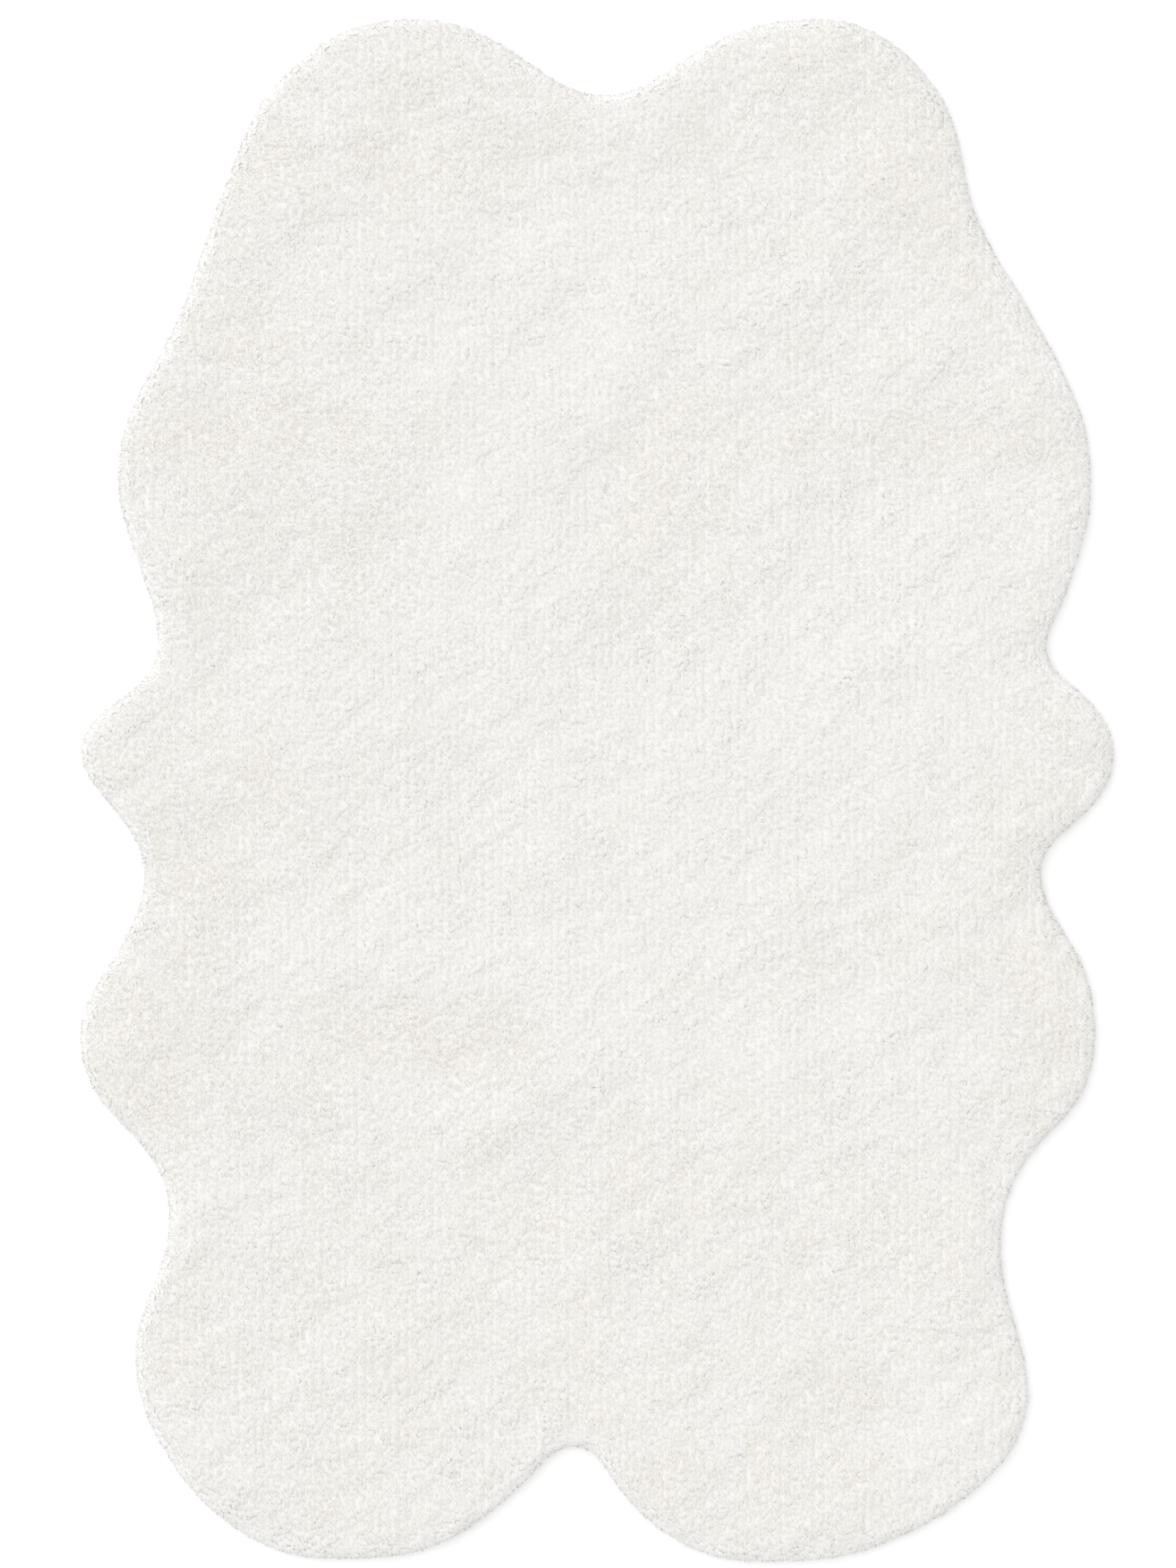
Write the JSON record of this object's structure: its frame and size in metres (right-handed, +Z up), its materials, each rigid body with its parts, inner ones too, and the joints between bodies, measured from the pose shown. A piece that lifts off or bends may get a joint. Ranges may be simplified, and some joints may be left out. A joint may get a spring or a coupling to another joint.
{
  "type": "shag rug",
  "caption": "Flat ivory shag rug in the scalloped outline of joined sheepskins, a dense pile slab with a rim of drooping locks, to lie on a floor.",
  "frame": {"origin": "middle of the underside, on the floor", "axes": "+Y along the rug towards its wide notched end, +X across it, +Z up out of the pile"},
  "size_m": [1.227, 1.829, 0.0287],
  "materials": {
    "pile": "soft matt cut pile, warm white"
  },
  "bodies": {
    "root": {"shag_rug": "pile"}
  },
  "joints": []
}
